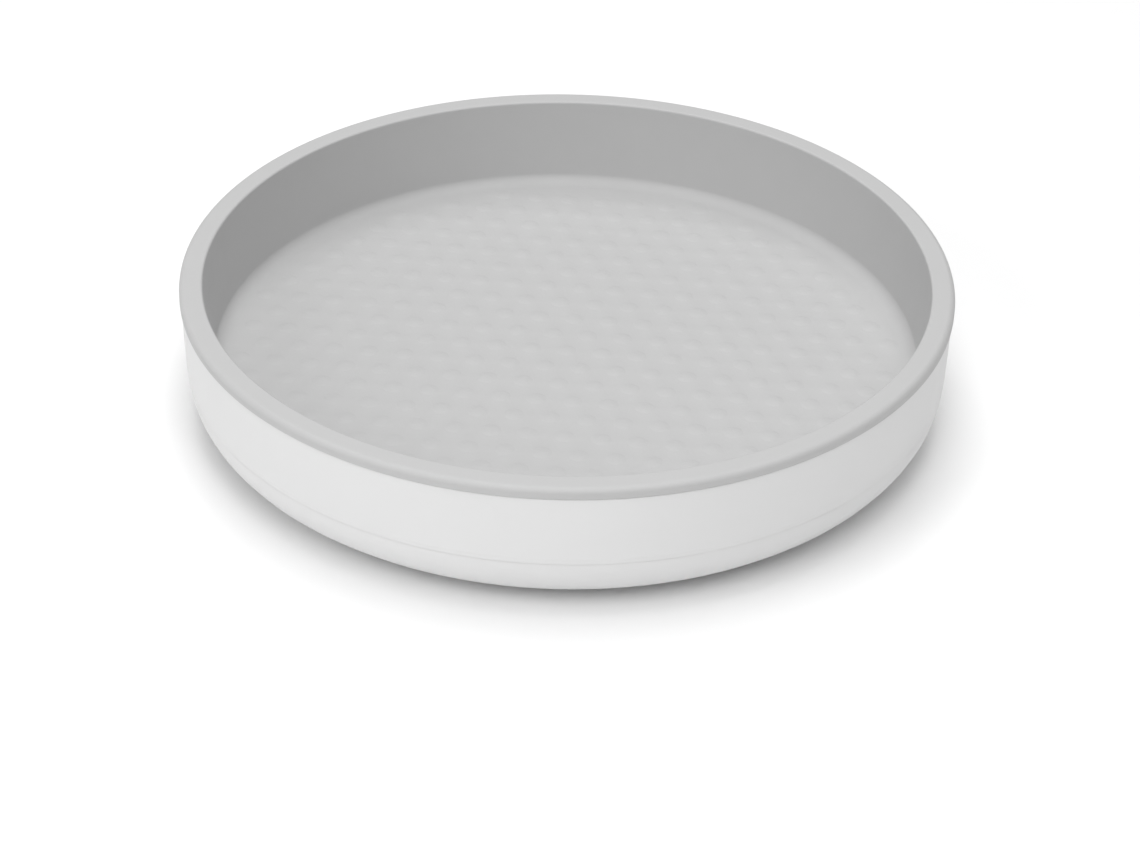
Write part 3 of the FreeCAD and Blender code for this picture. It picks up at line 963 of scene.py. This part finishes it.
class TURNTABLE_OT_liner(bpy.types.Operator):
    """Build the soft liner with its rim bead and bumped floor"""
    bl_idname = "turntable.liner"
    bl_label = "Grip liner"
    bl_options = {"REGISTER", "UNDO"}

    def execute(self, context):
        scene = context.scene
        liner = scene.turntable_liner
        grey = finish(context, moulded_elastomer, "elastomer")
        outline = rounded(liner_outline(liner, scene.turntable_shell), steps=12)
        floor_radius, floor_top = outline[-2]
        made = bmesh.new()
        turn(made, outline[:-1], closed=False)
        field = liner_wall(liner, floor_top) - liner.corner_width - liner.bump_margin
        flat_floor(made, liner, floor_radius, floor_top, field)
        body = grown(bump_tree(), to_mesh(made, "liner_body"), pitch=liner.bump_pitch,
                     radius=liner.bump_radius, height=liner.bump_height, field=field + SLACK,
                     floor=floor_top, material=grey)
        place(body, "liner", grey, "tray", "liner", "grip_liner")
        return {"FINISHED"}


class TURNTABLE_OT_races(bpy.types.Operator):
    """Build the two pressed steel races"""
    bl_idname = "turntable.races"
    bl_label = "Ball races"
    bl_options = {"REGISTER", "UNDO"}

    def execute(self, context):
        bearing = context.scene.turntable_bearing
        zinc = finish(context, zinc_plated_steel, "zinc")
        circle, _ = ball_circle()
        upper_groove = high("upper_race").z - bearing.sheet
        lower_groove = low("lower_race").z + bearing.sheet
        upper = turned("upper", race_outline(upper_groove, -1, bearing, circle))
        lower = turned("lower", race_outline(lower_groove, 1, bearing, circle))
        place(upper, "race_upper", zinc, "tray", "race", "upper_race")
        place(lower, "race_lower", zinc, "base", "race", "lower_race")
        return {"FINISHED"}


class TURNTABLE_OT_cage(bpy.types.Operator):
    """Build the ring that spaces the balls"""
    bl_idname = "turntable.cage"
    bl_label = "Ball cage"
    bl_options = {"REGISTER", "UNDO"}

    def execute(self, context):
        bearing = context.scene.turntable_bearing
        acetal = finish(context, moulded_acetal, "acetal")
        circle, _ = ball_circle()
        ring = plain_ring("ball_cage", 2 * circle - high("ball_cage").x, SOFT, STEPS)
        pocket = (high("ball_01").x - low("ball_01").x) / 2 + bearing.pocket_play
        body = grown(pocket_tree(), ring, circle=circle, radius=pocket, bottom=low("ball_cage").z - REACH,
                     top=high("ball_cage").z + REACH, count=bearing.balls, material=acetal)
        place(body, "cage", acetal, "cage", "cage", "ball_cage")
        return {"FINISHED"}


class TURNTABLE_OT_balls(bpy.types.Operator):
    """Build the bearing balls, one for each place in the cage"""
    bl_idname = "turntable.balls"
    bl_label = "Balls"
    bl_options = {"REGISTER", "UNDO"}

    def execute(self, context):
        count = context.scene.turntable_bearing.balls
        steel = finish(context, polished_steel, "steel")
        circle, height = ball_circle()
        radius = (high("ball_01").x - low("ball_01").x) / 2
        tree = ball_tree()
        for index in range(count):
            node = "ball_%02d" % (index + 1)
            body = grown(tree, bpy.data.meshes.new(node), radius=radius, circle=circle, height=height,
                         turn=math.tau * index / count, material=steel)
            place(body, "bearing_" + node, steel, node, "ball", node)
        return {"FINISHED"}


class TURNTABLE_OT_base(bpy.types.Operator):
    """Build the fixed base plate with its ribs, hub cup and pad pockets"""
    bl_idname = "turntable.base"
    bl_label = "Base plate"
    bl_options = {"REGISTER", "UNDO"}

    def execute(self, context):
        scene = context.scene
        base, bearing = scene.turntable_base, scene.turntable_bearing
        white = finish(context, moulded_polypropylene, "polypropylene")
        pad_low, pad_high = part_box("foot_pad_1")
        underside = low("base_plate").z
        body = turned("base_body", base_outline(base, bearing, scene.turntable_hub))
        body = grown(pocket_tree(), body, circle=(pad_low.x + pad_high.x) / 2,
                     radius=(pad_high.x - pad_low.x) / 2 + base.pocket_play, bottom=underside - REACH,
                     top=underside + base.pocket_depth, count=base.pads, material=white)
        top = underside + base.plate
        body = ribbed(scene, body, base.cup_radius + base.cup_wall - bearing.seat_wall / 2,
                      high("base_plate").x - base.edge_wall / 2, top - ROOT, top + base.rib_height, white)
        place(body, "base", white, "base", "base", "base_plate")
        return {"FINISHED"}


class TURNTABLE_OT_bush(bpy.types.Operator):
    """Build the flanged bush in the hub's roof"""
    bl_idname = "turntable.bush"
    bl_label = "Centre bush"
    bl_options = {"REGISTER", "UNDO"}

    def execute(self, context):
        scene = context.scene
        hub = scene.turntable_hub
        acetal = finish(context, moulded_acetal, "acetal")
        bottom, top = low("centre_bush").z, high("centre_bush").z
        bore = scene.turntable_shell.post_radius + hub.bush_play
        outside, flange = bush_outside(hub), high("centre_bush").x
        body = turned("bush_body", [
            (bore, bottom, SOFT), (flange, bottom, SOFT), (flange, bottom + hub.bush_flange, CRISP),
            (outside, bottom + hub.bush_flange), (outside, top, SOFT), (bore, top, SOFT)], SMALL_STEPS)
        place(body, "bush", acetal, "base", "bush", "centre_bush")
        return {"FINISHED"}


class TURNTABLE_OT_fasteners(bpy.types.Operator):
    """Build the thrust washer and the centre screw"""
    bl_idname = "turntable.fasteners"
    bl_label = "Washer and screw"
    bl_options = {"REGISTER", "UNDO"}

    def execute(self, context):
        hub = context.scene.turntable_hub
        zinc = finish(context, zinc_plated_steel, "zinc")
        washer = plain_ring("thrust_washer", hub.screw_radius + hub.seat_play, FINE, SMALL_STEPS)
        place(washer, "washer", zinc, "tray", "fastener", "thrust_washer")
        place(self.screw(hub), "screw", zinc, "tray", "fastener", "centre_screw")
        return {"FINISHED"}

    def screw(self, hub):
        """Pan-head screw: a cross recess in the head and a helical thread up to a blunt tip."""
        head_bottom, tip = low("centre_screw").z, high("centre_screw").z
        head_top, head_radius = head_bottom + hub.head_height, high("centre_screw").x
        head = rounded([
            (0.0, head_bottom), (head_radius, head_bottom, hub.head_edge), (head_radius, head_top)])
        profile = [[(r, z)] * SCREW_STEPS for r, z in head[1:]]
        rows = int((tip - head_top) / hub.thread_pitch * THREAD_ROWS)
        for row in range(rows + 1):
            z = head_top + (tip - head_top) * row / rows
            profile.append([(self.thread(hub, z, tip, step / SCREW_STEPS), z) for step in range(SCREW_STEPS)])
        made = bmesh.new()
        rings = [[made.verts.new(polar(r, step, SCREW_STEPS) + Vector((0, 0, z)))
                  for step, (r, z) in enumerate(ring)] for ring in profile]
        for first, second in zip(rings, rings[1:]):
            bridge(made, first, second)
        made.faces.new(rings[0])
        made.faces.new(rings[-1])
        along, across = hub.recess_length, hub.recess_width
        return self.cut_arms(to_mesh(made, "screw_body"), head_bottom, hub.recess_depth,
                             ((along, across), (across, along)))

    def thread(self, hub, z, tip, share):
        """Radius of the thread at a height, and at a share of a turn round the screw."""
        crest_half, tip_share = 0.35, 0.45
        phase = (z / hub.thread_pitch - share) % 1.0
        fall = min(1.0, abs(phase - 0.5) / crest_half)
        return (hub.screw_radius - hub.thread_depth * fall) * min(1.0, tip_share + (tip - z) / hub.tip_length)

    def cut_arms(self, mesh, head_bottom, depth, arms):
        """Cut the arms of the cross recess, narrower at their far end, out of the head."""
        narrowing = 0.6
        body = bpy.data.objects.new("screw_body", mesh)
        cutters = []
        for size in arms:
            arm = bmesh.new()
            middle = Matrix.Translation((0, 0, head_bottom + (depth - REACH) / 2))
            stretch = Matrix.Diagonal((*size, depth + REACH, 1.0))
            bmesh.ops.create_cube(arm, size=1.0, matrix=middle @ stretch)
            for vert in arm.verts:
                if vert.co.z > head_bottom:
                    vert.co.xy *= narrowing
            cutters.append(bpy.data.objects.new("drive", to_mesh(arm, "drive")))
            cut = body.modifiers.new("drive", "BOOLEAN")
            cut.object, cut.operation, cut.solver = cutters[-1], "DIFFERENCE", "EXACT"
        return baked(body, *cutters)


class TURNTABLE_OT_cap(bpy.types.Operator):
    """Build the snap-in cap under the hub"""
    bl_idname = "turntable.cap"
    bl_label = "Screw cap"
    bl_options = {"REGISTER", "UNDO"}

    def execute(self, context):
        scene = context.scene
        hub, base = scene.turntable_hub, scene.turntable_base
        white = finish(context, moulded_polypropylene, "polypropylene")
        bottom, top = low("screw_cap").z, high("screw_cap").z
        flange, shelf = high("screw_cap").x, bottom + hub.cap_thickness
        skirt = base.cup_radius - hub.cap_play
        inside = skirt - hub.cap_skirt
        body = turned("cap_body", [
            (0.0, bottom), (flange, bottom, SOFT), (flange, shelf, CRISP), (skirt, shelf), (skirt, top, SOFT),
            (inside, top, SOFT), (inside, shelf, SOFT), (0.0, shelf)], SMALL_STEPS)
        place(body, "cap", white, "base", "base", "screw_cap")
        return {"FINISHED"}


class TURNTABLE_OT_pads(bpy.types.Operator):
    """Build the foam foot pads"""
    bl_idname = "turntable.pads"
    bl_label = "Foot pads"
    bl_options = {"REGISTER", "UNDO"}

    def execute(self, context):
        base = context.scene.turntable_base
        foam = finish(context, die_cut_neoprene, "neoprene", "lint")
        pad_low, pad_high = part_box("foot_pad_1")
        circle = (pad_low.x + pad_high.x) / 2
        radius = (pad_high.x - pad_low.x) / 2
        thickness = pad_high.z - pad_low.z
        edge_points = [(radius, pad_low.z + thickness * share) for share in (0.25, 0.4, 0.55, 0.7, 0.85)]
        outline = rounded([(0.0, pad_low.z), (radius, pad_low.z, base.pad_edge), *edge_points,
                           (radius, pad_high.z, CRISP), (0.0, pad_high.z)], steps=4)
        tree = pad_tree()
        for index in range(base.pads):
            made = bmesh.new()
            turn(made, outline, PAD_STEPS)
            node = "foot_pad_%d" % (index + 1)
            body = grown(tree, to_mesh(made, node), circle=circle, turn=math.tau * index / base.pads,
                         radius=radius, roughness=base.cut_roughness, seed=index * SEED_STEP, material=foam)
            place(body, "pad_%d" % (index + 1), foam, "base", "pad", node)
        return {"FINISHED"}


class TURNTABLE_OT_stage(bpy.types.Operator):
    """Set the pale floor, the soft lights and the camera"""
    bl_idname = "turntable.stage"
    bl_label = "Stage"
    bl_options = {"REGISTER", "UNDO"}

    def execute(self, context):
        scene = context.scene
        stage = scene.turntable_stage
        made = bmesh.new()
        bmesh.ops.create_grid(made, x_segments=1, y_segments=1, size=stage.floor,
                              matrix=Matrix.Translation((0.0, 0.0, -stage.floor_gap)))
        floor = bpy.data.objects.new("floor", to_mesh(made, "floor"))
        floor.data.materials.append(finish(context, painted_floor, "floor"))
        scene.collection.objects.link(floor)
        for name, placing in SOFTBOXES.items():
            self.softbox(scene, name + "_softbox", getattr(stage, name), *placing)
        world = bpy.data.worlds.new("studio")
        world.use_nodes = True
        sky = world.node_tree.nodes["Background"]
        sky.inputs["Color"].default_value = (1.0, 1.0, 1.0, 1.0)
        sky.inputs["Strength"].default_value = stage.sky
        scene.world = world
        scene.view_settings.view_transform = "Standard"
        self.camera(scene, stage)
        return {"FINISHED"}

    def softbox(self, scene, name, power, size, azimuth, elevation, distance):
        """A square area light that faces the tray; angles in degrees, azimuth from +X."""
        light = bpy.data.lights.new(name, "AREA")
        light.energy = power
        light.size = size
        lamp = bpy.data.objects.new(name, light)
        level = polar(distance * math.cos(math.radians(elevation)), azimuth, 360)
        lamp.location = level + Vector((0.0, 0.0, distance * math.sin(math.radians(elevation))))
        lamp.rotation_euler = (-lamp.location).to_track_quat("-Z", "Y").to_euler()
        scene.collection.objects.link(lamp)

    def camera(self, scene, stage):
        """A long lens that looks down at the tray from the front."""
        lens = bpy.data.cameras.new("camera")
        lens.lens = stage.lens
        lens.sensor_width = 36.0
        lens.clip_start = 0.01
        target = Vector((0.0, 0.0, CAD_BOX[1][2]))
        back = Vector((math.sin(stage.azimuth) * math.cos(stage.elevation),
                       -math.cos(stage.azimuth) * math.cos(stage.elevation), math.sin(stage.elevation)))
        right = Vector((math.cos(stage.azimuth), math.sin(stage.azimuth), 0.0))
        up = back.cross(right)
        upright = Matrix((right, up, -back))
        aim = Vector((math.tan(stage.aim_side), math.tan(stage.aim_up), 1.0))
        offset = Vector((0.0, 0.0, 1.0)).rotation_difference(aim).to_matrix()
        axes = offset @ Matrix.Rotation(stage.roll, 3, "Z") @ upright
        turned_axes = Matrix((axes[0], axes[1], -axes[2])).transposed()
        camera = bpy.data.objects.new("camera", lens)
        camera.matrix_world = Matrix.Translation(target + back * stage.distance) @ turned_axes.to_4x4()
        scene.collection.objects.link(camera)
        scene.camera = camera


OPERATORS = (
    TURNTABLE_OT_shell, TURNTABLE_OT_liner, TURNTABLE_OT_races, TURNTABLE_OT_cage, TURNTABLE_OT_balls,
    TURNTABLE_OT_base, TURNTABLE_OT_bush, TURNTABLE_OT_fasteners, TURNTABLE_OT_cap, TURNTABLE_OT_pads,
    TURNTABLE_OT_stage,
)


class TURNTABLE_PT_panel(bpy.types.Panel):
    """Lists the turntable's pieces and sizes in the 3D view's sidebar"""
    bl_idname = "TURNTABLE_PT_panel"
    bl_label = "Turntable"
    bl_space_type = "VIEW_3D"
    bl_region_type = "UI"
    bl_category = "Turntable"

    def draw(self, context):
        for operator in OPERATORS:
            self.layout.operator(operator.bl_idname)
        for name, group in GROUPS.items():
            box = self.layout.box()
            box.label(text=group.__name__)
            for prop in group.__annotations__:
                box.prop(getattr(context.scene, name), prop, text=prop.replace("_", " ").capitalize())


def register():
    for group in GROUPS.values():
        bpy.utils.register_class(group)
    for name, group in GROUPS.items():
        setattr(bpy.types.Scene, name, PointerProperty(type=group))
    for operator in OPERATORS:
        bpy.utils.register_class(operator)
    bpy.utils.register_class(TURNTABLE_PT_panel)


def unregister():
    bpy.utils.unregister_class(TURNTABLE_PT_panel)
    for operator in reversed(OPERATORS):
        bpy.utils.unregister_class(operator)
    for name in GROUPS:
        delattr(bpy.types.Scene, name)
    for group in reversed(list(GROUPS.values())):
        bpy.utils.unregister_class(group)


def main():
    register()
    for operator in OPERATORS:
        getattr(bpy.ops.turntable, operator.bl_idname.split(".")[1])()


if __name__ == "__main__":
    main()
